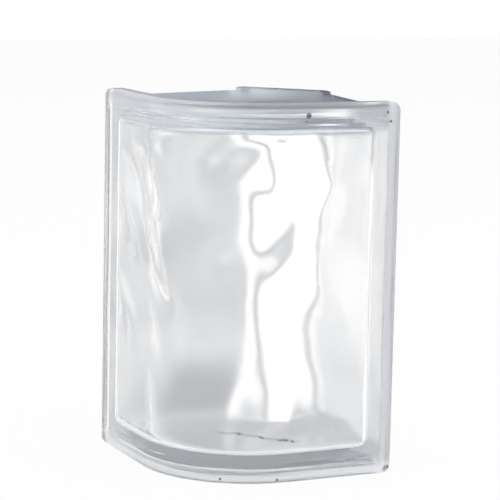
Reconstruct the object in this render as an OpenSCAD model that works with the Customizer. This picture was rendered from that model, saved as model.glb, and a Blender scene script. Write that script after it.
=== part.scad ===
// Hollow corner block of pressed clear glass, standing on end as it is laid.
// Two outer faces meet at a large rounded corner; a flat inner face closes it across the diagonal.
// Millimetres. Origin at the middle of the footprint, on the floor; the rounded corner points to -X -Y.

/* [Overall size] */
// Height of the block as it stands
block_h = 190; // [150:1:300]
// Length of each outer face, measured to the sharp corner the two would make
leg = 115; // [105:1:130]
// Width of each end, from the outer face to the inner face
end_w = 80; // [72:1:88]
// Radius of the rounded outer corner
corner_r = 56; // [48:1:64]

/* [Flanges and mortar channel] */
// Depth of the outer flange behind the outer faces
outer_flange = 9; // [7:0.5:12]
// Depth of the inner flange behind the inner face
inner_flange = 5; // [4:0.5:7]
// Rounding along the long edges of the flanges
edge_r = 2.5; // [1:0.1:3]
// Rounding of the inner flange's edges
plate_r = 1.8; // [0.5:0.1:1.9]
// Rounding of the flange corners at the ends of the block
flange_corner_r = 4.5; // [3:0.5:7]
// Depth of the mortar channel beside the outer flange
channel_out = 3.6; // [2.5:0.1:4.5]
// Depth of the mortar channel beside the inner flange
channel_in = 2; // [1:0.1:2.5]

/* [Rim of the outer faces] */
// Width of the plain rim round the outer faces
rim_w = 7; // [5:0.5:9]
// Step from the rim down to the face inside it
rim_step = 0.6; // [0.3:0.1:1]

/* [Cavity] */
// Mean thickness of the glass behind the outer faces
face_wall = 9; // [8:0.5:11]
// Mean thickness of the glass behind the inner face
inner_wall = 8; // [7:0.5:10]
// From the top or bottom of the block to the edge of the cavity
bed_inset = 12.5; // [11:0.5:15]
// From each end of the block to the cavity
end_inset = 9; // [8:0.5:12]
// Further rise of the cavity's roof, and fall of its floor, towards the inner half
roof_rise = 5.5; // [2:0.5:6]
// Rounding of the upright corners of the cavity
cavity_corner_r = 7; // [6:0.5:10]
// Rounding of the top and bottom edges of the cavity
cavity_edge_r = 5; // [3:0.5:5.5]

/* [Waves pressed in the glass] */
// Furthest that the main ridge of the waves swells into the cavity
wave_depth = 6.6; // [1:0.1:7.6]
// Length of the main ridge, half of it to either side of its middle
wave_len = 50; // [40:1:60]
// Height over which the waves die out at the top and bottom
wave_fade = 12; // [6:1:20]

/* [Hidden] */
$fn = 96;
half = leg / 2;
mid_h = block_h / 2;
arc_c = corner_r - half;
plate_w = (leg - end_w) * sqrt(2);
outer_mid = outer_flange / 2 - half;
root2 = sqrt(2);

// Where the roof is highest, as a share of the way to the inner face, and its fall from there to that face
roof_at_share = 0.64;
gable_fall_share = 0.6;

// Swells of the wave pattern, each a share of the wave depth (negative into the cavity), its place along
// the wall from the corner as a share of the leg, its height as a share of the block's height, its length
// and breadth as shares of the wave length, and its tilt in degrees
swell_shares = [
    [-1, 0.339, 0.637, 0.48, 0.16, 38],
    [0.55, 0.274, 0.605, 0.26, 0.12, 89],
    [0.56, 0.078, 0.9, 0.72, 0.42, -49],
    [-0.24, 0.148, 0.832, 0.68, 0.34, 42],
    [0.36, 0.496, 0.674, 1.14, 0.24, 78],
    [0.27, 0.435, 0.826, 1, 0.38, -12],
    [-0.35, 0.548, 0.495, 0.72, 0.44, 5],
    [0.2, 0.661, 0.768, 0.84, 0.52, 53],
    [-0.58, 0, 0.547, 0.72, 0.4, 97],
    [0.52, 0.174, 0.453, 0.62, 0.26, 83],
    [-0.48, 0.33, 0.8, 0.24, 0.22, 90],
    [-0.67, 0.27, 0.263, 0.34, 0.24, 90],
    [0.24, -0.226, 0.568, 0.48, 0.12, -68],
    [-0.23, -0.348, 0.589, 0.48, 0.14, -60],
    [0.21, -0.522, 0.642, 0.56, 0.16, -42],
    [-0.2, -0.47, 0.779, 0.52, 0.16, -45],
    [0.2, -0.609, 0.421, 0.56, 0.16, -42],
    [0.27, -0.296, 0.789, 0.4, 0.12, -66],
    [-0.24, -0.278, 0.305, 0.44, 0.16, -66]
];
inner_wave_share = 0.25;

// Plan of the body between the flanges, from the outer flange round into the inner flange
plate_mid = end_w / root2 - inner_flange / 2;
tie = plate_w / 2 - inner_flange;
tie_x = (plate_mid + tie) / root2;
tie_y = (plate_mid - tie) / root2;
core_plan = [
    [outer_mid, outer_mid],
    [half - channel_out, outer_mid],
    [half - channel_out, outer_flange - half],
    [half - channel_in, end_w - half - 2 * channel_in],
    [tie_x, tie_y],
    [tie_y, tie_x],
    [end_w - half - 2 * channel_in, half - channel_in],
    [outer_flange - half, half - channel_out],
    [outer_mid, half - channel_out]
];

// Side view of the body along the diagonal, from the corner to the inner face
slope_from = outer_flange / root2;
slope_to = end_w / root2 - inner_flange;
core_side = [
    [-leg, channel_out],
    [slope_from, channel_out],
    [slope_to, channel_in],
    [leg, channel_in],
    [leg, block_h - channel_in],
    [slope_to, block_h - channel_in],
    [slope_from, block_h - channel_out],
    [-leg, block_h - channel_out]
];

// Plan outline of the cavity: its corners, each with the way the wall faces before and after it
cavity_end = half - end_inset;
cavity_face = face_wall - half;
cavity_inner = end_w - inner_wall * root2 - cavity_end;
roof_at = roof_at_share * (end_w - inner_wall * root2) / 2;
corner_at = [
    [cavity_end, cavity_inner],
    [cavity_inner, cavity_end],
    [cavity_face, cavity_end],
    [cavity_face, cavity_face],
    [cavity_end, cavity_face]
];
face_arc_r = corner_r - face_wall;
corner_rs = [cavity_corner_r, cavity_corner_r, cavity_corner_r, face_arc_r, cavity_corner_r];
corner_from = [0, 45, 90, 180, 270];
corner_to = [45, 90, 180, 270, 360];
corner_steps = [3, 3, 4, 22, 4];
wall_steps = [8, 3, 13, 13, 3];
edge_steps = 4;
rows = 42;

function unit(a) = [cos(a), sin(a)];
function corner_centre(k) = corner_at[k] - corner_rs[k] / cos((corner_to[k] - corner_from[k]) / 2)
    * unit((corner_from[k] + corner_to[k]) / 2);
function on_corner(k, a) = corner_centre(k) + corner_rs[k] * unit(a);
// Each station on the outline is a point and the direction the wall faces there
function corner_run(k) = [
    for (i = [0 : corner_steps[k]])
        let (a = corner_from[k] + (corner_to[k] - corner_from[k]) * i / corner_steps[k])
        [on_corner(k, a), a]
];
function wall_run(k) = let (
        next = (k + 1) % len(corner_at),
        from = on_corner(k, corner_to[k]),
        to = on_corner(next, corner_from[next])
    ) [
    for (i = [1 : wall_steps[k] - 1])
        [from + (to - from) * i / wall_steps[k], corner_to[k] % 360]
];
stations = [for (k = [0 : len(corner_at) - 1]) each concat(corner_run(k), wall_run(k))];

// Waves belong to the faces and not to the ends, and are weaker on the inner face
function wave_share(a) = lookup(a, [[0, 0], [45, inner_wave_share], [90, 0], [180, 1], [270, 1], [360, 0]]);
function along(p, a) = a <= 90
    ? (p.x - p.y) / root2
    : face_arc_r * (min(max(a, 180), 270) - 225) * PI / 180
        + (a >= 270 ? max(0, p.x - arc_c) : 0)
        - (a <= 180 ? max(0, p.y - arc_c) : 0);
function swell(s, z, row) = let (
        right = s - row[1] * leg,
        above = z - row[2] * block_h,
        lengthwise = (right * cos(row[5]) + above * sin(row[5])) / (row[3] * wave_len),
        across = (above * cos(row[5]) - right * sin(row[5])) / (row[4] * wave_len)
    ) row[0] * exp(-lengthwise * lengthwise - across * across);
function swells(s, z, i = 0) = i < len(swell_shares)
    ? swell(s, z, swell_shares[i]) + swells(s, z, i + 1)
    : 0;
function fade(z) = min(1, max(0, (mid_h - bed_inset - cavity_edge_r - abs(z - mid_h)) / wave_fade));
function wave(p, a, z) = wave_depth * wave_share(a) * fade(z) * swells(along(p, a), z);

// Towards the inner half the ends of the cavity rise to a gable, and its floor falls as far
inner_at = end_w / root2 - inner_wall;
apex_at = roof_at_share * inner_at;
function gable(t) = roof_rise * (t < apex_at
    ? max(0, t / apex_at)
    : 1 - gable_fall_share * (t - apex_at) / (inner_at - apex_at));
function stretched(p, z) = z + (z - mid_h) * gable((p.x + p.y) / root2) / (mid_h - bed_inset);

// Heights of the rings of points, each with how far its edge is rounded in
low = bed_inset;
high = block_h - bed_inset;
rise = high - low - 2 * cavity_edge_r;
rings = concat(
    [for (i = [0 : edge_steps - 1])
        let (a = 90 * i / edge_steps)
        [low + cavity_edge_r * (1 - cos(a)), cavity_edge_r * (1 - sin(a))]],
    [for (i = [0 : rows]) [low + cavity_edge_r + rise * i / rows, 0]],
    [for (i = [edge_steps - 1 : -1 : 0])
        let (a = 90 * i / edge_steps)
        [high - cavity_edge_r * (1 - cos(a)), cavity_edge_r * (1 - sin(a))]]
);
cavity_points = concat(
    [for (ring = rings) for (s = stations)
        let (z = stretched(s[0], ring[0]), p = s[0] + (wave(s[0], s[1], z) - ring[1]) * unit(s[1]))
        [p.x, p.y, z]],
    [[roof_at, roof_at, low - roof_rise], [roof_at, roof_at, high + roof_rise]]
);
count = len(stations);
last = (len(rings) - 1) * count;
cavity_faces = concat(
    [for (i = [0 : count - 1]) [i, (i + 1) % count, last + count]],
    [for (r = [0 : len(rings) - 2]) for (i = [0 : count - 1])
        let (a = r * count + i, b = r * count + (i + 1) % count)
        each [[a, a + count, b + count], [a, b + count, b]]],
    [for (i = [0 : count - 1]) [last + (i + 1) % count, last + i, last + count + 1]]
);

module rounded(w, h, r) {
    square([w - 2 * r, h], center = true);
    square([w, h - 2 * r], center = true);
    for (x = [-1, 1])
        for (y = [-1, 1])
            translate([x * (w / 2 - r), y * (h / 2 - r)]) circle(r);
}

// Draws a side view between two stations along X or along Y
module along_x(from, to) {
    translate([from, 0, 0]) rotate([90, 0, 90]) linear_extrude(to - from) children();
}

module along_y(from, to) {
    translate([0, to, 0]) rotate([90, 0, 0]) linear_extrude(to - from) children();
}

// Keeps what lies inside the rounded corners of the two ends
module end_corners() {
    intersection() {
        children();
        along_x(-leg, leg) translate([-half, mid_h]) rounded(2 * leg, block_h, flange_corner_r);
        along_y(-leg, leg) translate([-half, mid_h]) rounded(2 * leg, block_h, flange_corner_r);
    }
}

// Straight part of the outer flange, behind the face that runs along X
module straight_flange() {
    intersection() {
        along_x(arc_c, half) translate([outer_mid, mid_h]) rounded(outer_flange, block_h, edge_r);
        translate([0, outer_mid, 0]) linear_extrude(block_h) rounded(leg, outer_flange, edge_r);
    }
}

module corner_flange() {
    translate([arc_c, arc_c, 0]) rotate([0, 0, 180]) rotate_extrude(angle = 90)
        translate([corner_r - outer_flange / 2, mid_h]) rounded(outer_flange, block_h, edge_r);
}

// The inner half's flange: a flat plate across the diagonal, its ends square to it
module inner_plate() {
    rotate([0, 0, -45]) intersection() {
        along_x(-plate_w, plate_w) translate([plate_mid, mid_h]) rounded(inner_flange, block_h, plate_r);
        translate([0, plate_mid, 0]) linear_extrude(block_h) rounded(plate_w, inner_flange, plate_r);
        along_y(0, leg) translate([0, mid_h]) rounded(plate_w, block_h, flange_corner_r);
    }
}

module core() {
    intersection() {
        linear_extrude(block_h) intersection() {
            polygon(core_plan);
            union() {
                translate([arc_c, arc_c]) circle(corner_r - outer_flange / 2);
                translate([arc_c, -leg]) square([leg, 2 * leg]);
                translate([-leg, arc_c]) square([2 * leg, leg]);
            }
        }
        rotate([0, 0, 45]) along_y(-leg, leg) polygon(core_side);
    }
}

// The face inside the rim, stepped down along both legs and round the corner
module face_step() {
    depth = 2 * rim_step;
    tall = block_h - 2 * rim_w;
    end = half - rim_w;
    translate([arc_c, -half - rim_step, rim_w]) cube([end - arc_c, depth, tall]);
    translate([-half - rim_step, arc_c, rim_w]) cube([depth, end - arc_c, tall]);
    translate([arc_c, arc_c, rim_w]) rotate([0, 0, 180]) rotate_extrude(angle = 90)
        translate([corner_r - rim_step, 0]) square([depth, tall]);
}

// The hollow sealed in when the two pressed halves are fused
module cavity() {
    polyhedron(points = cavity_points, faces = cavity_faces, convexity = 6);
}

module glass_block() {
    color([0.82, 0.89, 0.9, 0.45]) difference() {
        union() {
            end_corners() {
                straight_flange();
                mirror([1, -1, 0]) straight_flange();
                corner_flange();
            }
            inner_plate();
            core();
        }
        face_step();
        cavity();
    }
}

glass_block();
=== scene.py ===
import math
from functools import partial

import bmesh
import bpy
from mathutils import Matrix, Vector


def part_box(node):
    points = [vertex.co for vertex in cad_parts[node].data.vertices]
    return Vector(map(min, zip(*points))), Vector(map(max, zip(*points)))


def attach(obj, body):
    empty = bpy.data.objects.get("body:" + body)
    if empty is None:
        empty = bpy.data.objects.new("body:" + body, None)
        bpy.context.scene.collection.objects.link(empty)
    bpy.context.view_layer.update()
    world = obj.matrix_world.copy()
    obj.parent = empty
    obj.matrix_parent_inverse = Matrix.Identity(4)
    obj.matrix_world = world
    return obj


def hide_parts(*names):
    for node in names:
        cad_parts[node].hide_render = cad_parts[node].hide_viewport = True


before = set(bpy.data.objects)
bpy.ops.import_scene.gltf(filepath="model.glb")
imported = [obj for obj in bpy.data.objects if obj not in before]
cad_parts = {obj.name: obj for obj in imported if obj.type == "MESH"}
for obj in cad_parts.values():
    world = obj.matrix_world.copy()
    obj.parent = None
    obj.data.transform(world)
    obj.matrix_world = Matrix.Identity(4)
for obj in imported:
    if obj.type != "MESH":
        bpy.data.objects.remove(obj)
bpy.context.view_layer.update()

MM = 0.001
ROOT2 = math.sqrt(2)

# Sizes of the block, from the frame and from the part's own values
LOW, HIGH = (Vector(corner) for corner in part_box("glass_block"))
HEIGHT = HIGH.z - LOW.z
LEG = HIGH.x - LOW.x
HALF = LEG / 2
END_WIDTH = 80 * MM
CORNER_RADIUS = 56 * MM
OUTER_FLANGE = 9 * MM
INNER_FLANGE = 5 * MM
EDGE_ROUNDING = 2.5 * MM
END_CORNER = 4.5 * MM
STEP_RUN = 0.8 * MM
CHANNEL_OUT = 3.6 * MM
CHANNEL_IN = 2 * MM
RIM_WIDTH = 7 * MM
RIM_STEP = 0.6 * MM
FACE_WALL = 9 * MM
INNER_WALL = 8 * MM
SIDE_INSET = 12.5 * MM
END_INSET = 9 * MM
CAVITY_CORNER = 7 * MM
CAVITY_EDGE = 5 * MM
ROOF_RISE = 5.5 * MM
ROOF_APEX_SHARE = 0.64
GABLE_FALL_SHARE = 0.6
ROOF_TOP_SHARE = 0.03
FLANGE_BACK = OUTER_FLANGE - HALF
FLANGE_REACH = CORNER_RADIUS - OUTER_FLANGE
INNER_FRONT = END_WIDTH / ROOT2 - INNER_FLANGE
COAT_GAP_LEFT = 3 * MM
COAT_GAP_RIGHT = 6 * MM
COAT_LAP = 4.2 * MM
INNER_HALF = LEG / ROOT2 - END_WIDTH / ROOT2
OVERRUN = 8 * MM
CLOSE = 0.1 * MM
BORDER_SLACK = 0.3 * MM
CORNER_SEGMENTS = 48
HOLLOW_SEGMENTS = 40
SHARP_EDGE = math.radians(40)
SMOOTH_ANGLE = math.radians(35)
COAT_SLOT = 1
RIM_SLOT = 2

# Waves pressed inside the faces, in millimetres; a depth below nought stands into the hollow
WAVE_FADE = 12 * MM
INNER_WAVE_SHARE = 0.25
SWELLS = [
    # depth, place along the wall from the corner, height, length, breadth, tilt in degrees
    (3.7, 9, 171, 36, 21, -49),
    (-1.6, 17, 158, 34, 17, 42),
    (2.4, 57, 128, 57, 12, 78),
    (1.8, 50, 157, 50, 19, -12),
    (-2.3, 63, 94, 36, 22, 5),
    (1.3, 76, 146, 42, 26, 53),
    (-3.8, 0, 104, 36, 20, 97),
    (3.4, 20, 86, 31, 13, 83),
    (-3.2, 38, 152, 12, 11, 90),
    (-4.4, 31, 50, 17, 12, 90),
    (2.2, -26, 108, 24, 6, -68),
    (-2.1, -40, 112, 24, 7, -60),
    (1.9, -60, 122, 28, 8, -42),
    (-1.8, -54, 148, 26, 8, -45),
    (1.3, -70, 80, 28, 8, -42),
    (2.4, -34, 150, 20, 6, -66),
    (-0.5, -32, 58, 22, 8, -66),
]
FINE_SWELLS = [
    # the same, for the finer swells, fitted to how the photo's glass bends what lies behind it
    (-2.1, 25, 117, 22, 12.5, 39),
    (0.7, 41, 116, 10, 5.0, 73),
    (1.9, 31, 47, 10, 10.4, 63),
    (3.4, 30, 176, 30, 7.5, -78),
    (-1.5, 26, 106, 31, 7.9, 75),
    (1.9, 54, 49, 30, 20.1, -38),
    (-1.8, 16, 111, 15, 13.1, -49),
    (-5.1, 11, 171, 40, 20.9, -80),
    (0.5, 43, 128, 31, 4.2, 47),
    (-4.8, 10, 175, 28, 18.4, 58),
    (4.1, 34, 31, 54, 10.9, -87),
    (-0.6, 55, 127, 22, 4.9, 70),
    (1.2, 62, 94, 14, 8.9, -69),
    (2.2, 59, 51, 33, 17.1, -48),
    (2.3, 49, 118, 16, 15.6, -53),
    (1.6, 34, 151, 8, 6.3, 9),
    (1.8, 30, 54, 15, 12.7, 64),
    (0.3, 58, 69, 12, 5.0, -21),
    (0.7, 38, 109, 30, 7.3, -24),
    (1.6, 34, 170, 33, 5.3, -36),
    (2.8, 30, 172, 24, 6.4, 42),
    (-1.1, 29, 139, 15, 6.9, -46),
    (-0.6, 17, 65, 18, 9.5, 52),
    (0.2, 23, 98, 8, 5.0, -80),
    (-0.3, 63, 41, 7, 6.8, 45),
    (0.7, 37, 110, 18, 5.1, 43),
    (0.5, 51, 121, 17, 11.6, -68),
    (-0.4, 32, 138, 19, 8.4, 10),
    (-0.5, 48, 101, 10, 9.0, 37),
]
CAVITY_GRID = 1.8 * MM

# Glass: clear soda-lime, with marks of the mould that lie along the rims
CLEAR = "#fefefe"
GLASS_IOR = 1.52
FACE_ROUGHNESS = 0.12
RIM_ROUGHNESS = 0.3
HOLLOW_ROUGHNESS = 0.15
MARK_BREADTH = 3 * MM
MARK_FADE = 3 * MM
MARK_WEIGHT = 3.0
MARK_DEPTH = 0.25 * MM
END_MARKS_START = HALF - END_INSET - 2 * MM
END_MARKS_FULL = HALF - 3 * MM
SLOW_BREADTH = 26 * MM
SLOW_WEIGHT = 0.5
LYING = (0.05, 0.05, 1.0)
STANDING = (1.0, 1.0, 0.04)

# Grit and dirt: place and radius of each spot in millimetres
GRIT_COLOUR = "#3a3c40"
GRIT = [
    (5.6, -57.5, 183.9, 2.0), (4.6, -57.5, 180.9, 1.1), (29.9, -57.5, 181.0, 1.0),
    (-28.3, -50.7, 178.0, 0.6), (44.7, -57.5, 171.8, 0.9), (-33.7, -47.3, 2.6, 1.0),
    (-7.0, -57.2, 2.1, 1.0), (55.7, -57.5, 3.3, 1.1), (-48.6, -31.7, 117.8, 0.7),
    (-57.5, 25.2, 160.8, 0.8), (51.2, -57.5, 180.5, 1.0), (49.4, -57.5, 185.0, 0.8),
]
END_DIRT = [(22.5, 57, 155, 4), (57, 23, 171, 3.5)]

# Dotted line of scale at the foot of the hollow, which falls to the right
SCALE_HEIGHT = 20.8 * MM
SCALE_FALL = 0.155
SCALE_WANDER = 3 * MM
SCALE_BEND = 12 * MM
SCALE_BREADTH = 0.9 * MM
SCALE_DOT = 2.5 * MM
SCALE_MIDDLE = -12 * MM
SCALE_REACH = 22 * MM
SCALE_FADE = 8 * MM
SCALE_FRONT = -30 * MM
SCALE_BACK = -25 * MM

# Coating: how it lets light through, how it was brushed, and its tint on each stretch, with painted light
# and painted shade among the tints
COAT_ROUGHNESS = 0.9
COAT_IOR = 1.2
COAT_TRANSMISSION = 0.75
CLOUD_BREADTH = 34 * MM
CLOUD_WEIGHT = 0.4
BRUSH_BREADTH = 9 * MM
BRUSH_WEIGHT = 0.12
# painted light: the end coat is made paler towards the right-hand end
RIGHT_LIGHTING = 0.75
COAT_TINT = "#acb0b5"
# white: the coat's own thin patches, and the painted light on the right
THIN_AND_LIT_TINT = "#ffffff"
# painted shade: a darker patch low on the left-hand end's coat
SHADED_PATCH = [(-6, 53, 14, 40)]
SHADED_PATCH_TINT = "#95989e"
# painted light: a paler patch low on the right-hand end's coat
RIGHT_LIT_PATCH = [(55, -10, 25, 55)]
RIGHT_TINT = "#dfe2e5"
BAND_START = HEIGHT / 2 - 18 * MM
BAND_FULL = HEIGHT / 2 - 11 * MM
BAND_TINT = "#b5b8bd"
FLANGE_FADE = 2 * MM
# painted light and shade where the coat runs in to the outer flange: paler on the left, darker on the
# right
FLANGE_LEFT_LIT_TINT = "#f1f2f3"
FLANGE_RIGHT_SHADED_TINT = "#bfc2c7"
BEAD_TINT = "#9da0a6"
BED_START = HEIGHT / 2 - CHANNEL_OUT - 2 * MM
BED_FULL = HEIGHT / 2 - CHANNEL_OUT - 0.5 * MM
FORE_START = FLANGE_REACH - 18 * MM
FORE_FULL = FLANGE_REACH - 7 * MM
# painted light and shade in the beds: the foot is painted lighter, most in front; the head is painted
# darker, most on the right
FOOT_BACK_TINT = "#b0b4ba"
FOOT_FORE_LIT_TINT = "#d8dbdf"
HEAD_LEFT_TINT = "#b2b8c1"
HEAD_RIGHT_SHADED_TINT = "#747a85"
HEAD_FLANGE_TINT = "#c4c7cc"

# Light: white sweep behind the block, dimmer room in front of it, a soft bright patch on the left
WHITE = "#ffffff"
FRONT_LEVEL = 0.35
BACK_LEVEL = 1.0
SWEEP_START = -0.3
SWEEP_FULL = 0.5
AMBIENT_LEVEL = 0.55
THROUGH_LEVEL = 1.2
BACK_WAY = Vector((0.42, 0.9, 0.0))
SOFTBOX_WAY = Vector((-0.78, 0.6, 0.05)).normalized()
SOFTBOX_LEVEL = 4.0
SOFTBOX_CORE = math.radians(4)
SOFTBOX_EDGE = math.radians(20)
FLOOR_SIDE = 8
FLOOR_WHITE = 0.93
FLOOR_PAINT = "#f4f4f4"
LAMP_PLACE = Vector((0, -0.4, 2.4))
LAMP_SIDE = 3.0
LAMP_POWER = 45
GLASS_BOUNCES = 24
MIRROR_BOUNCES = 8

# Camera, from the photograph's edges
PHOTO_SIDE = 500
FOCAL_PIXELS = 2120
SENSOR = 36
CAMERA_PLACE = Vector((-455.8, -983.3, 271.9)) * MM
CAMERA_HEADING = math.radians(24.97)
CAMERA_PITCH = math.radians(8.516)
CAMERA_ROLL = math.radians(1.227)


def start(name):
    """Names a new primitive and moves its place and size into its mesh."""
    piece = bpy.context.object
    piece.name = name
    bpy.ops.object.transform_apply(location=True, rotation=True, scale=True)
    return piece


def clear_selection():
    if bpy.context.object and bpy.context.object.mode != "OBJECT":
        bpy.ops.object.mode_set(mode="OBJECT")
    bpy.ops.object.select_all(action="DESELECT")


def box(name, low, high):
    """A box between two corners, as a start for a shaped piece."""
    clear_selection()
    low, high = Vector(low), Vector(high)
    bpy.ops.mesh.primitive_cube_add(size=1, location=(low + high) / 2, scale=high - low)
    return start(name)


def make_active(piece):
    clear_selection()
    bpy.context.view_layer.objects.active = piece
    piece.select_set(True)


def edit(piece, mode="EDGE"):
    make_active(piece)
    bpy.ops.object.mode_set(mode="EDIT")
    bpy.ops.mesh.select_mode(type=mode)
    bpy.ops.mesh.select_all(action="DESELECT")


def choose_edges(piece, test):
    """Selects the edges whose middle and direction pass the test."""
    shape = bmesh.from_edit_mesh(piece.data)
    for edge in shape.edges:
        first, second = (corner.co for corner in edge.verts)
        edge.select_set(test((first + second) / 2, (second - first).normalized()))
    bmesh.update_edit_mesh(piece.data)


def choose_faces(piece, test):
    """Selects the faces whose middle and normal pass the test."""
    shape = bmesh.from_edit_mesh(piece.data)
    for face in shape.faces:
        face.select_set(test(face.calc_center_median(), face.normal))
    bmesh.update_edit_mesh(piece.data)


def upright_edge_at(x, y):
    return lambda middle, way: abs(way.z) > 0.99 and (middle.xy - Vector((x, y))).length < CLOSE


def bevel_at(piece, x, y, offset, segments):
    """Rounds or cuts off the upright edge that stands at a place in plan."""
    bpy.ops.mesh.select_all(action="DESELECT")
    choose_edges(piece, upright_edge_at(x, y))
    bpy.ops.mesh.bevel(offset=offset, segments=segments, affect="EDGES")


def along_diagonal(place):
    return (place.x + place.y) / ROOT2


def channel_depth(place):
    """Depth of the mortar channel, which rises towards the inner flange."""
    first = OUTER_FLANGE / ROOT2
    share = min(1, max(0, (along_diagonal(place) - first) / (INNER_FRONT - first)))
    return CHANNEL_OUT + (CHANNEL_IN - CHANNEL_OUT) * share


def choose_sharp(piece, angle):
    shape = bmesh.from_edit_mesh(piece.data)
    for edge in shape.edges:
        edge.select_set(edge.calc_face_angle(0) > angle)
    bmesh.update_edit_mesh(piece.data)


def full_block():
    """The block's outline at full height: rounded outer corner, diagonal inner face, stepped faces."""
    block = box("glass_block_shell", LOW, HIGH)
    edit(block)
    bevel_at(block, -HALF, -HALF, CORNER_RADIUS, CORNER_SEGMENTS)
    bevel_at(block, HALF, HALF, LEG - END_WIDTH, 1)
    bpy.ops.mesh.select_mode(type="FACE")
    bpy.ops.mesh.select_all(action="DESELECT")
    choose_faces(block, lambda middle, normal: abs(normal.z) < 0.01 and max(normal.x, normal.y) < 0.01)
    bpy.ops.mesh.inset(thickness=RIM_WIDTH)
    bpy.ops.mesh.inset(thickness=STEP_RUN, depth=-RIM_STEP)
    bpy.ops.mesh.select_mode(type="EDGE")
    bpy.ops.mesh.select_all(action="DESELECT")
    choose_edges(block, lambda middle, way: abs(way.z) < 0.1 and HALF - max(middle.x, middle.y) < CLOSE)
    bpy.ops.mesh.bevel(offset=END_CORNER, segments=6, affect="EDGES")
    bpy.ops.mesh.select_all(action="DESELECT")
    choose_sharp(block, SHARP_EDGE)
    bpy.ops.mesh.bevel(offset=EDGE_ROUNDING, segments=4, affect="EDGES")
    return block


def bed_cutter(name, top):
    """What the mortar channel takes out of the top or the bottom of the block."""
    reach = HALF + OVERRUN
    cutter = box(name, (FLANGE_BACK, FLANGE_BACK, HEIGHT / 2), (reach, reach, HEIGHT + OVERRUN))
    edit(cutter)
    bevel_at(cutter, FLANGE_BACK, FLANGE_BACK, FLANGE_REACH, CORNER_SEGMENTS)
    bevel_at(cutter, reach, reach, 2 * reach - INNER_FRONT * ROOT2, 1)
    bpy.ops.mesh.select_all(action="SELECT")
    first = OUTER_FLANGE / 2
    bpy.ops.mesh.bisect(plane_co=(first, first, 0), plane_no=(1, 1, 0))
    shape = bmesh.from_edit_mesh(cutter.data)
    for corner in shape.verts:
        if corner.co.z < HEIGHT * 0.75:
            corner.co.z = HEIGHT - channel_depth(corner.co)
        if not top:
            corner.co.z = HEIGHT - corner.co.z
    bmesh.update_edit_mesh(cutter.data)
    if not top:
        bpy.ops.mesh.select_all(action="SELECT")
        bpy.ops.mesh.flip_normals()
    bpy.ops.object.mode_set(mode="OBJECT")
    return cutter


def end_cutter(name, swap):
    """What the mortar channel takes out of one end of the block."""
    reach = HALF + OVERRUN
    cutter = box(name, (0, FLANGE_BACK, -OVERRUN), (reach, 0, HEIGHT + OVERRUN))
    edit(cutter)
    shape = bmesh.from_edit_mesh(cutter.data)
    for corner in shape.verts:
        near = corner.co.y < -1 * MM
        inside = corner.co.x < 1 * MM
        if near and inside:
            corner.co.x = HALF - CHANNEL_OUT
        elif inside:
            corner.co.x = HALF - CHANNEL_IN
        if not near:
            corner.co.y = corner.co.x + END_WIDTH - LEG
        if swap:
            corner.co.x, corner.co.y = corner.co.y, corner.co.x
    bmesh.update_edit_mesh(cutter.data)
    if swap:
        bpy.ops.mesh.select_all(action="SELECT")
        bpy.ops.mesh.flip_normals()
    bpy.ops.object.mode_set(mode="OBJECT")
    return cutter


def apply_modifier(piece, kind, **settings):
    make_active(piece)
    bpy.ops.object.modifier_add(type=kind)
    modifier = piece.modifiers[-1]
    for name, value in settings.items():
        setattr(modifier, name, value)
    bpy.ops.object.modifier_apply(modifier=modifier.name)


def cut_away(piece, cutter):
    apply_modifier(piece, "BOOLEAN", operation="DIFFERENCE", solver="EXACT", object=cutter)
    bpy.data.objects.remove(cutter)


def wave(place, facing):
    """How far the wavy wall swings out at a place: the swells there, flat again at roof and floor."""
    angle = math.degrees(math.atan2(facing.y, facing.x)) % 360
    if angle <= 90:
        share = INNER_WAVE_SHARE * (1 - abs(angle - 45) / 45)
        along = (place.x - place.y) / ROOT2
    else:
        share = min(1, max(0, min((angle - 90) / 90, (360 - angle) / 90)))
        centre = CORNER_RADIUS - HALF
        round_corner = math.atan2(max(0, centre - place.y), max(0, centre - place.x)) - math.pi / 4
        past_corner = max(0, place.x - centre) - max(0, place.y - centre)
        along = (CORNER_RADIUS - FACE_WALL) * round_corner + past_corner
    rim = HEIGHT / 2 - SIDE_INSET - CAVITY_EDGE - abs(place.z - HEIGHT / 2)
    fade = min(1, max(0, rim / WAVE_FADE))
    height = 0
    for depth, at, up, length, breadth, tilt in SWELLS + FINE_SWELLS:
        turn = math.radians(tilt)
        right = along / MM - at
        above = place.z / MM - up
        lengthwise = (right * math.cos(turn) + above * math.sin(turn)) / length
        across = (above * math.cos(turn) - right * math.sin(turn)) / breadth
        height += depth * MM * math.exp(-lengthwise ** 2 - across ** 2)
    return share * fade * height


def gable(place):
    """How far the roof line at an end is raised: most at the apex, less towards either face."""
    inner = END_WIDTH / ROOT2 - INNER_WALL
    apex = ROOF_APEX_SHARE * inner
    along = along_diagonal(place)
    if along < apex:
        return ROOF_RISE * max(0, along / apex)
    return ROOF_RISE * (1 - GABLE_FALL_SHARE * (along - apex) / (inner - apex))


def hollow_form():
    """The hollow's plain form, with its corners and edges rounded."""
    face = FACE_WALL - HALF
    end = HALF - END_INSET
    hollow = box("hollow", (face, face, SIDE_INSET), (end, end, HEIGHT - SIDE_INSET))
    edit(hollow)
    bevel_at(hollow, face, face, CORNER_RADIUS - FACE_WALL, HOLLOW_SEGMENTS)
    inner_sum = END_WIDTH - INNER_WALL * ROOT2
    bevel_at(hollow, end, end, 2 * end - inner_sum, 1)
    other = inner_sum - end
    for x, y, turn, segments in [(end, face, math.pi / 2, 6), (face, end, math.pi / 2, 6),
                                 (end, other, math.pi / 4, 4), (other, end, math.pi / 4, 4)]:
        bevel_at(hollow, x, y, CAVITY_CORNER * math.tan(turn / 2), segments)
    bpy.ops.mesh.select_all(action="DESELECT")
    choose_edges(hollow, lambda middle, way: abs(way.z) < 0.01)
    bpy.ops.mesh.bevel(offset=CAVITY_EDGE, segments=5, affect="EDGES")
    return hollow


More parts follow.
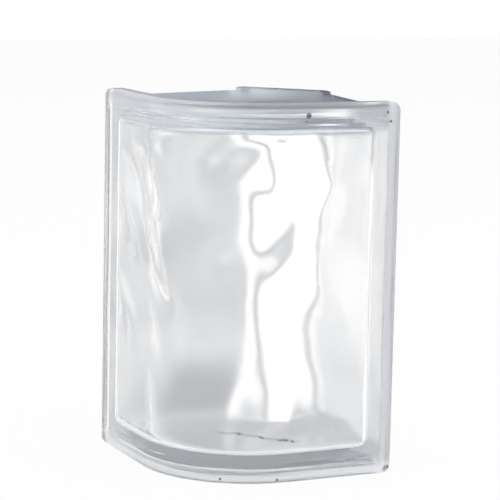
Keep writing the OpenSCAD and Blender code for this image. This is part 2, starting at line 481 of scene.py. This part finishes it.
def grid_walls(hollow):
    """Cuts the hollow's walls into a fine grid, so that they can take the waves."""
    foot = SIDE_INSET + CAVITY_EDGE
    rise = HEIGHT - 2 * foot
    rows = round(rise / CAVITY_GRID)
    for i in range(1, rows):
        bpy.ops.mesh.select_all(action="SELECT")
        bpy.ops.mesh.bisect(plane_co=(0, 0, foot + rise * i / rows), plane_no=(0, 0, 1))
    bpy.ops.mesh.select_mode(type="FACE")
    columns = round(LEG / CAVITY_GRID)
    for way in (Vector((0, -1, 0)), Vector((-1, 0, 0)), Vector((1, 1, 0)) / ROOT2):
        level = Vector((-way.y, way.x, 0))
        for i in range(-columns, columns):
            bpy.ops.mesh.select_all(action="DESELECT")
            choose_faces(hollow, lambda middle, normal: normal.dot(way) > 0.999)
            bpy.ops.mesh.bisect(plane_co=level * (i + 0.5) * CAVITY_GRID, plane_no=level)


def raise_roofs(hollow):
    """Draws the hollow's top and bottom out to an apex, and its ends out to gables."""
    apex = ROOF_APEX_SHARE * (END_WIDTH - INNER_WALL * ROOT2) / 2
    for way in (1, -1):
        bpy.ops.mesh.select_all(action="DESELECT")
        choose_faces(hollow, lambda middle, normal: normal.z * way > 0.999)
        bpy.ops.mesh.extrude_region_move(TRANSFORM_OT_translate={"value": (0, 0, way * ROOF_RISE)})
        bpy.ops.transform.resize(value=(ROOF_TOP_SHARE, ROOF_TOP_SHARE, 1),
                                 center_override=(apex, apex, 0))
    wall_height = HEIGHT / 2 - SIDE_INSET
    shape = bmesh.from_edit_mesh(hollow.data)
    for corner in shape.verts:
        level = corner.co.z - HEIGHT / 2
        if abs(level) < wall_height + CLOSE:
            corner.co.z += level / wall_height * gable(corner.co)
    bmesh.update_edit_mesh(hollow.data)


def press_waves(hollow):
    """Moves every corner of the grid along its wall's normal by the wave there."""
    shape = bmesh.from_edit_mesh(hollow.data)
    shape.normal_update()
    swings = []
    for corner in shape.verts:
        facing = Vector((corner.normal.x, corner.normal.y, 0))
        if facing.length > 0.5:
            facing.normalize()
            swings.append((corner, facing * wave(corner.co, facing)))
    for corner, swing in swings:
        corner.co += swing
    bmesh.update_edit_mesh(hollow.data)


def cavity():
    """The sealed hollow, its faces pressed in irregular waves and turned inwards."""
    hollow = hollow_form()
    grid_walls(hollow)
    raise_roofs(hollow)
    press_waves(hollow)
    bpy.ops.mesh.select_all(action="SELECT")
    bpy.ops.mesh.flip_normals()
    bpy.ops.object.mode_set(mode="OBJECT")
    apply_modifier(hollow, "SUBSURF", levels=1, render_levels=1)
    return hollow


def add_node(tree, kind, inputs=None, output=0, **settings):
    """Adds a node with its settings, fills or links its inputs, and returns an output if it has one."""
    node = tree.nodes.new("ShaderNode" + kind)
    for name, value in settings.items():
        setattr(node, name, value)
    for socket, value in (inputs or {}).items():
        if isinstance(value, bpy.types.NodeSocket):
            tree.links.new(value, node.inputs[socket])
        else:
            node.inputs[socket].default_value = value
    return node.outputs[output] if node.outputs else None


def colour(code):
    """Linear colour of an sRGB hex value."""
    parts = [int(code[i:i + 2], 16) / 255 for i in (1, 3, 5)]
    return [c / 12.92 if c <= 0.04045 else ((c + 0.055) / 1.055) ** 2.4 for c in parts] + [1]


def bare_tree(owner):
    owner.use_nodes = True
    owner.node_tree.nodes.clear()
    return owner.node_tree


def streaks(tree, place, stretch, size):
    """Noise drawn out along an edge: small numbers in stretch lie along the streak."""
    drawn = add_node(tree, "Mapping", {"Vector": place, "Scale": stretch})
    return add_node(tree, "TexNoise", {"Vector": drawn, "Scale": 1 / size,
                                       "Detail": 1.5, "Roughness": 0.5})


def spots(tree, place, spot_list):
    """One on the listed spots, each a place and a radius in millimetres, and nought elsewhere."""
    covered = 0.0
    for x, y, z, radius in spot_list:
        middle = Vector((x, y, z)) * MM
        gap = add_node(tree, "VectorMath", {0: place, 1: middle}, "Value", operation="DISTANCE")
        spot = add_node(tree, "MapRange", {"Value": gap, "From Min": radius * MM,
                                           "From Max": radius * MM / 2}, interpolation_type="SMOOTHSTEP")
        covered = add_node(tree, "Math", {0: covered, 1: spot}, operation="MAXIMUM")
    return covered


def press_marks(tree, place):
    """Fine drawn-out marks where the mould pressed the rims, and a slow swell over the faces."""
    add = partial(add_node, tree)
    x, y, z = (add("SeparateXYZ", {0: place}, way) for way in "XYZ")
    above = add("Math", {0: z, 1: HEIGHT / 2}, operation="SUBTRACT")
    from_middle = add("Math", {0: above}, operation="ABSOLUTE")
    bed_edge = HEIGHT / 2 - SIDE_INSET
    bed_rim = add("MapRange", {"Value": from_middle, "From Min": bed_edge - MARK_FADE,
                               "From Max": bed_edge + MARK_FADE}, interpolation_type="SMOOTHSTEP")
    along = add("Math", {0: x, 1: y}, operation="MAXIMUM")
    end_rim = add("MapRange", {"Value": along, "From Min": END_MARKS_START,
                               "From Max": END_MARKS_FULL}, interpolation_type="SMOOTHSTEP")
    lying = streaks(tree, place, LYING, MARK_BREADTH)
    standing = streaks(tree, place, STANDING, MARK_BREADTH)
    level = add("Math", {0: lying, 1: bed_rim}, operation="MULTIPLY")
    upright = add("Math", {0: standing, 1: end_rim}, operation="MULTIPLY")
    marks = add("Math", {0: level, 1: upright}, operation="ADD")
    slow = streaks(tree, place, (1.0, 1.0, 0.6), SLOW_BREADTH)
    swell = add("Math", {0: slow, 1: SLOW_WEIGHT}, operation="MULTIPLY")
    height = add("Math", {0: marks, 1: MARK_WEIGHT, 2: swell}, operation="MULTIPLY_ADD")
    return add("Bump", {"Height": height, "Strength": 1.0, "Distance": MARK_DEPTH})


def face_glass(name, roughness):
    """Pressed soda-lime glass of the outside: clear and bright, with press marks and a little grit."""
    material = bpy.data.materials.new(name)
    tree = bare_tree(material)
    place = add_node(tree, "TexCoord", output="Object")
    add = partial(add_node, tree)
    grit = spots(tree, place, GRIT)
    tint = add("Mix", {0: grit, 6: colour(CLEAR), 7: colour(GRIT_COLOUR)}, 2, data_type="RGBA")
    glass = add("BsdfPrincipled", {"Base Color": tint, "Normal": press_marks(tree, place),
                                   "Roughness": roughness, "IOR": GLASS_IOR, "Transmission Weight": 1.0})
    add("OutputMaterial", {"Surface": glass})
    return material


def hollow_glass():
    """The same glass inside the hollow, smooth from the plunger, with a line of scale at its foot."""
    material = bpy.data.materials.new("soda-lime glass of the hollow")
    tree = bare_tree(material)
    add = partial(add_node, tree)
    place = add("TexCoord", output="Object")
    x, y, z = (add("SeparateXYZ", {0: place}, way) for way in "XYZ")
    slanted = add("Math", {0: x, 1: SCALE_FALL, 2: z}, operation="MULTIPLY_ADD")
    bends = streaks(tree, place, (1.0, 1.0, 0.0), SCALE_BEND)
    wander = add("Math", {0: bends, 1: SCALE_WANDER, 2: slanted}, operation="MULTIPLY_ADD")
    off = add("Math", {0: wander, 1: SCALE_HEIGHT + SCALE_WANDER / 2}, operation="SUBTRACT")
    near = add("Math", {0: off}, operation="ABSOLUTE")
    line = add("MapRange", {"Value": near, "From Min": SCALE_BREADTH, "From Max": SCALE_BREADTH / 2},
               interpolation_type="SMOOTHSTEP")
    sideways = add("Math", {0: x, 1: SCALE_MIDDLE}, operation="SUBTRACT")
    from_middle = add("Math", {0: sideways}, operation="ABSOLUTE")
    reach = add("MapRange", {"Value": from_middle, "From Min": SCALE_REACH,
                             "From Max": SCALE_REACH - SCALE_FADE}, interpolation_type="SMOOTHSTEP")
    front = add("MapRange", {"Value": y, "From Min": SCALE_BACK, "From Max": SCALE_FRONT})
    grains = streaks(tree, place, (1.0, 1.0, 1.0), SCALE_DOT)
    dots = add("MapRange", {"Value": grains, "From Min": 0.5, "From Max": 0.62, "To Min": 0.4})
    share = add("Math", {0: line, 1: dots}, operation="MULTIPLY")
    share = add("Math", {0: share, 1: reach}, operation="MULTIPLY")
    share = add("Math", {0: share, 1: front}, operation="MULTIPLY")
    tint = add("Mix", {0: share, 6: colour(CLEAR), 7: colour(GRIT_COLOUR)}, 2, data_type="RGBA")
    glass = add("BsdfPrincipled", {"Base Color": tint, "Roughness": HOLLOW_ROUGHNESS, "IOR": GLASS_IOR,
                                   "Transmission Weight": 1.0})
    add("OutputMaterial", {"Surface": glass})
    return material


def towards_face(tree, place):
    """Distance of a place towards the rounded face, from where that face's corner has its centre."""
    centre = CORNER_RADIUS - HALF
    moved = add_node(tree, "VectorMath", {0: place, 1: (centre, centre, 0)}, operation="SUBTRACT")
    level = add_node(tree, "VectorMath", {0: moved, 1: (1, 1, 0)}, operation="MULTIPLY")
    ahead = add_node(tree, "VectorMath", {0: level, 1: (0, 0, 0)}, operation="MINIMUM")
    return add_node(tree, "VectorMath", {0: ahead}, "Value", operation="LENGTH")


def end_tint(tree, place, right):
    """Grey of the coat at the ends: cloudy and brushed upright, painted paler towards the right as
    painted light, with a painted shade patch and a painted light patch.
    """
    add = partial(add_node, tree)
    clouds = streaks(tree, place, (1.0, 1.0, 0.7), CLOUD_BREADTH)
    cloud = add("MapRange", {"Value": clouds, "From Min": 0.32, "From Max": 0.66, "To Max": CLOUD_WEIGHT},
                interpolation_type="SMOOTHSTEP")
    hairs = streaks(tree, place, (1.0, 1.0, 0.2), BRUSH_BREADTH)
    brushed = add("MapRange", {"Value": hairs, "From Min": 0.3, "From Max": 0.7, "To Min": -BRUSH_WEIGHT,
                               "To Max": BRUSH_WEIGHT})
    patchy = add("Math", {0: cloud, 1: brushed}, operation="ADD")
    # painted light: paler towards the right-hand end, added to the coat's own patchy clouds and brush
    # marks
    thin_and_lit = add("Math", {0: right, 1: RIGHT_LIGHTING, 2: patchy}, operation="MULTIPLY_ADD",
                  use_clamp=True)
    tint = add("Mix", {0: thin_and_lit, 6: colour(COAT_TINT), 7: colour(THIN_AND_LIT_TINT)}, 2, data_type="RGBA")
    # a painted shade patch low on the left-hand end, and a painted light patch on the right-hand end
    for spot_list, code in ((SHADED_PATCH, SHADED_PATCH_TINT), (RIGHT_LIT_PATCH, RIGHT_TINT)):
        covered = spots(tree, place, spot_list)
        tint = add("Mix", {0: covered, 6: tint, 7: colour(code)}, 2, data_type="RGBA")
    return tint


def bed_tint(tree, above, across, forward, flange):
    """Grey of the coat in the beds, with painted light and shade: the foot painted lighter in front, the
    head painted darker on the right.
    """
    add = partial(add_node, tree)
    fore = add("MapRange", {"Value": forward, "From Min": FORE_START, "From Max": FORE_FULL},
               interpolation_type="SMOOTHSTEP")
    foot = add("Mix", {0: fore, 6: colour(FOOT_BACK_TINT), 7: colour(FOOT_FORE_LIT_TINT)}, 2,
               data_type="RGBA")
    turned = add("MapRange", {"Value": across, "From Min": -HALF / 2, "From Max": HALF / 2},
                 interpolation_type="SMOOTHSTEP")
    head = add("Mix", {0: turned, 6: colour(HEAD_LEFT_TINT), 7: colour(HEAD_RIGHT_SHADED_TINT)}, 2,
               data_type="RGBA")
    head = add("Mix", {0: flange, 6: head, 7: colour(HEAD_FLANGE_TINT)}, 2, data_type="RGBA")
    top = add("Math", {0: above, 1: 0.0}, operation="GREATER_THAN")
    return add("Mix", {0: top, 6: foot, 7: head}, 2, data_type="RGBA")


def coating():
    """Mortar-grip coating in the channels: matt, thin enough for soft light, brushed on unevenly, its
    tints carrying painted light and painted shade.
    """
    material = bpy.data.materials.new("matt edge coating")
    tree = bare_tree(material)
    add = partial(add_node, tree)
    place = add("TexCoord", output="Object")
    x, y, z = (add("SeparateXYZ", {0: place}, way) for way in "XYZ")
    above = add("Math", {0: z, 1: HEIGHT / 2}, operation="SUBTRACT")
    from_middle = add("Math", {0: above}, operation="ABSOLUTE")
    across = add("Math", {0: x, 1: y}, operation="SUBTRACT")
    right = add("MapRange", {"Value": across, "From Min": 0.0, "From Max": HALF},
                interpolation_type="SMOOTHSTEP")
    tint = end_tint(tree, place, right)
    banded = add("MapRange", {"Value": from_middle, "From Min": BAND_START, "From Max": BAND_FULL},
                 interpolation_type="SMOOTHSTEP")
    tint = add("Mix", {0: banded, 6: tint, 7: colour(BAND_TINT)}, 2, data_type="RGBA")
    forward = towards_face(tree, place)
    flange = add("MapRange", {"Value": forward, "From Min": FLANGE_REACH - FLANGE_FADE,
                              "From Max": FLANGE_REACH}, interpolation_type="SMOOTHSTEP")
    # painted light and shade: the coat by the outer flange is paler on the left and darker on the right
    flange_painted_light = add("Mix", {0: right, 6: colour(FLANGE_LEFT_LIT_TINT), 7: colour(FLANGE_RIGHT_SHADED_TINT)}, 2,
                 data_type="RGBA")
    tint = add("Mix", {0: flange, 6: tint, 7: flange_painted_light}, 2, data_type="RGBA")
    sum_xy = add("Math", {0: x, 1: y}, operation="ADD")
    bead = add("MapRange", {"Value": sum_xy, "From Min": INNER_FRONT * ROOT2,
                            "From Max": INNER_FRONT * ROOT2 + MM})
    tint = add("Mix", {0: bead, 6: tint, 7: colour(BEAD_TINT)}, 2, data_type="RGBA")
    bed = add("MapRange", {"Value": from_middle, "From Min": BED_START, "From Max": BED_FULL},
              interpolation_type="SMOOTHSTEP")
    bed_painted_light = bed_tint(tree, above, across, forward, flange)
    tint = add("Mix", {0: bed, 6: tint, 7: bed_painted_light}, 2, data_type="RGBA")
    dirt = spots(tree, place, END_DIRT)
    tint = add("Mix", {0: dirt, 6: tint, 7: colour(GRIT_COLOUR)}, 2, data_type="RGBA")
    coat = add("BsdfPrincipled", {"Base Color": tint, "Roughness": COAT_ROUGHNESS, "IOR": COAT_IOR,
                                  "Transmission Weight": COAT_TRANSMISSION})
    add("OutputMaterial", {"Surface": coat})
    return material


def seen_rays(tree):
    """One for what the camera sees, straight, mirrored or through the glass."""
    seen = add_node(tree, "LightPath", output="Is Camera Ray")
    for kind in ("Is Glossy Ray", "Is Transmission Ray"):
        ray = add_node(tree, "LightPath", output=kind)
        seen = add_node(tree, "Math", {0: seen, 1: ray}, operation="MAXIMUM")
    return seen


def through_glass(tree):
    """White, and what the glass takes away made up for in what is seen through it."""
    through = add_node(tree, "LightPath", output="Is Transmission Ray")
    return add_node(tree, "Math", {0: through, 1: THROUGH_LEVEL - 1, 2: 1.0}, operation="MULTIPLY_ADD")


def white_room():
    """White sweep behind the block, a dimmer room in front of it and a soft bright patch on the left."""
    world = bpy.data.worlds.new("white studio")
    bpy.context.scene.world = world
    tree = bare_tree(world)
    add = partial(add_node, tree)
    way = add("TexCoord", output="Generated")
    back_share = add("VectorMath", {0: way, 1: BACK_WAY}, "Value", operation="DOT_PRODUCT")
    mirrored = add("MapRange", {"Value": back_share, "From Min": SWEEP_START, "From Max": SWEEP_FULL,
                                "To Min": FRONT_LEVEL, "To Max": BACK_LEVEL},
                   interpolation_type="SMOOTHSTEP")
    patch_share = add("VectorMath", {0: way, 1: SOFTBOX_WAY}, "Value", operation="DOT_PRODUCT")
    patch = add("MapRange", {"Value": patch_share, "From Min": math.cos(SOFTBOX_EDGE),
                             "From Max": math.cos(SOFTBOX_CORE), "To Max": SOFTBOX_LEVEL},
                interpolation_type="SMOOTHSTEP")
    mirrored = add("Math", {0: mirrored, 1: patch}, operation="ADD")
    mirrors = add("LightPath", output="Glossy Depth")
    reflected = add("Math", {0: mirrors, 1: 0.5}, operation="GREATER_THAN")
    bright = add("Mix", {0: reflected, 2: through_glass(tree), 3: mirrored})
    level = add("Mix", {0: seen_rays(tree), 2: AMBIENT_LEVEL, 3: bright})
    sky = add("Background", {"Color": colour(WHITE), "Strength": level})
    add("OutputWorld", {"Surface": sky})


def white_floor():
    """Pale floor that reads as white and keeps the block's soft shadow."""
    clear_selection()
    bpy.ops.mesh.primitive_plane_add(size=FLOOR_SIDE)
    floor = bpy.context.object
    floor.name = "floor"
    material = bpy.data.materials.new("white floor")
    tree = bare_tree(material)
    share = add_node(tree, "Math", {0: seen_rays(tree), 1: FLOOR_WHITE}, operation="MULTIPLY")
    paint = add_node(tree, "BsdfDiffuse", {"Color": colour(FLOOR_PAINT)})
    glow = add_node(tree, "Emission", {"Color": colour(WHITE), "Strength": through_glass(tree)})
    mix = add_node(tree, "MixShader", {0: share, 1: paint, 2: glow})
    add_node(tree, "OutputMaterial", {"Surface": mix})
    floor.data.materials.append(material)


def overhead_softbox():
    data = bpy.data.lights.new("overhead softbox", "AREA")
    data.size = LAMP_SIDE
    data.energy = LAMP_POWER
    lamp = bpy.data.objects.new("overhead softbox", data)
    bpy.context.scene.collection.objects.link(lamp)
    lamp.location = LAMP_PLACE
    aim = Vector((0, 0, HEIGHT / 2)) - LAMP_PLACE
    lamp.rotation_euler = aim.to_track_quat("-Z", "Y").to_euler()


def studio():
    scene = bpy.context.scene
    scene.view_settings.view_transform = "Standard"
    scene.cycles.max_bounces = GLASS_BOUNCES
    scene.cycles.transmission_bounces = GLASS_BOUNCES
    scene.cycles.glossy_bounces = MIRROR_BOUNCES
    white_room()
    white_floor()
    overhead_softbox()


def camera():
    data = bpy.data.cameras.new("photo camera")
    data.sensor_width = SENSOR
    data.lens = FOCAL_PIXELS / PHOTO_SIDE * SENSOR
    eye = bpy.data.objects.new("photo camera", data)
    bpy.context.scene.collection.objects.link(eye)
    ahead = Vector((math.sin(CAMERA_HEADING) * math.cos(CAMERA_PITCH),
                    math.cos(CAMERA_HEADING) * math.cos(CAMERA_PITCH), -math.sin(CAMERA_PITCH)))
    right = ahead.cross(Vector((0, 0, 1))).normalized()
    up = right.cross(ahead)
    tilt_right = right * math.cos(CAMERA_ROLL) + up * math.sin(CAMERA_ROLL)
    tilt_up = up * math.cos(CAMERA_ROLL) - right * math.sin(CAMERA_ROLL)
    turn = Matrix((tilt_right, tilt_up, -ahead)).transposed().to_4x4()
    eye.matrix_world = Matrix.Translation(CAMERA_PLACE) @ turn
    bpy.context.scene.camera = eye


def coat_gap(place):
    """Clear strip between the coating and the inner flange, wider at the right-hand end."""
    return COAT_GAP_RIGHT if place.x > place.y else COAT_GAP_LEFT


def in_outer_flange(middle):
    """True for what lies in front of the channels, round the rounded corner too."""
    centre = CORNER_RADIUS - HALF
    ahead = math.hypot(min(0, middle.x - centre), min(0, middle.y - centre))
    return ahead > FLANGE_REACH + BORDER_SLACK


def in_channel(middle, normal):
    """True for what the coating covers: the channels, and where it laps over the inner flange's ends."""
    if in_outer_flange(middle):
        return False
    if along_diagonal(middle) > INNER_FRONT + BORDER_SLACK:
        return abs(middle.x - middle.y) / ROOT2 > INNER_HALF - COAT_LAP and abs(normal.z) < 0.5
    bed_depth = channel_depth(middle) + BORDER_SLACK
    bed = middle.z > HEIGHT - bed_depth or middle.z < bed_depth
    end = max(middle.x, middle.y) > HALF - CHANNEL_OUT - BORDER_SLACK
    return bed or (end and along_diagonal(middle) < INNER_FRONT - coat_gap(middle))


def on_rim(middle):
    """True for the border round the sunk panel of the faces, where the mould leaves the glass rippled."""
    level = abs(middle.z - HEIGHT / 2)
    border = level > HEIGHT / 2 - RIM_WIDTH - STEP_RUN or max(middle.x, middle.y) > HALF - RIM_WIDTH
    return border and in_outer_flange(middle)


def mark_finishes(block):
    """Cuts the coating's borders into the block's faces, and marks what is coated and what is rim."""
    edit(block, "FACE")
    for gap in (COAT_GAP_LEFT, COAT_GAP_RIGHT):
        bpy.ops.mesh.select_all(action="DESELECT")
        choose_faces(block, lambda middle, normal: max(normal.x, normal.y) > 0.9
                     and max(middle.x, middle.y) < HALF - CHANNEL_IN / 2 and coat_gap(middle) == gap)
        edge = (INNER_FRONT - gap) / ROOT2
        bpy.ops.mesh.bisect(plane_co=(edge, edge, 0), plane_no=(1, 1, 0))
    for side in (1, -1):
        bpy.ops.mesh.select_all(action="DESELECT")
        choose_faces(block, lambda middle, normal: normal.x > 0.7 and normal.y > 0.7)
        edge = side * (INNER_HALF - COAT_LAP) / ROOT2
        bpy.ops.mesh.bisect(plane_co=(edge, -edge, 0), plane_no=(1, -1, 0))
    bpy.ops.object.mode_set(mode="OBJECT")
    for face in block.data.polygons:
        if in_channel(face.center, face.normal):
            face.material_index = COAT_SLOT
        elif on_rim(face.center):
            face.material_index = RIM_SLOT


def glass_block():
    """The block: outline, mortar channels, coating, and the hollow joined in."""
    block = full_block()
    bpy.ops.object.mode_set(mode="OBJECT")
    for cutter in (bed_cutter("cut_top", True), bed_cutter("cut_bottom", False),
                   end_cutter("cut_end_x", False), end_cutter("cut_end_y", True)):
        cut_away(block, cutter)
    block.data.materials.append(face_glass("pressed soda-lime glass", FACE_ROUGHNESS))
    block.data.materials.append(coating())
    block.data.materials.append(face_glass("rippled rim of the glass", RIM_ROUGHNESS))
    mark_finishes(block)
    make_active(block)
    bpy.ops.object.shade_smooth_by_angle(angle=SMOOTH_ANGLE)
    apply_modifier(block, "WEIGHTED_NORMAL", keep_sharp=True)
    hollow = cavity()
    hollow.data.materials.append(hollow_glass())
    make_active(hollow)
    bpy.ops.object.shade_smooth()
    make_active(block)
    hollow.select_set(True)
    bpy.ops.object.join()
    block.name = "glass_body"
    return block


studio()
camera()
block = glass_block()
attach(block, "root")
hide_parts("glass_block")
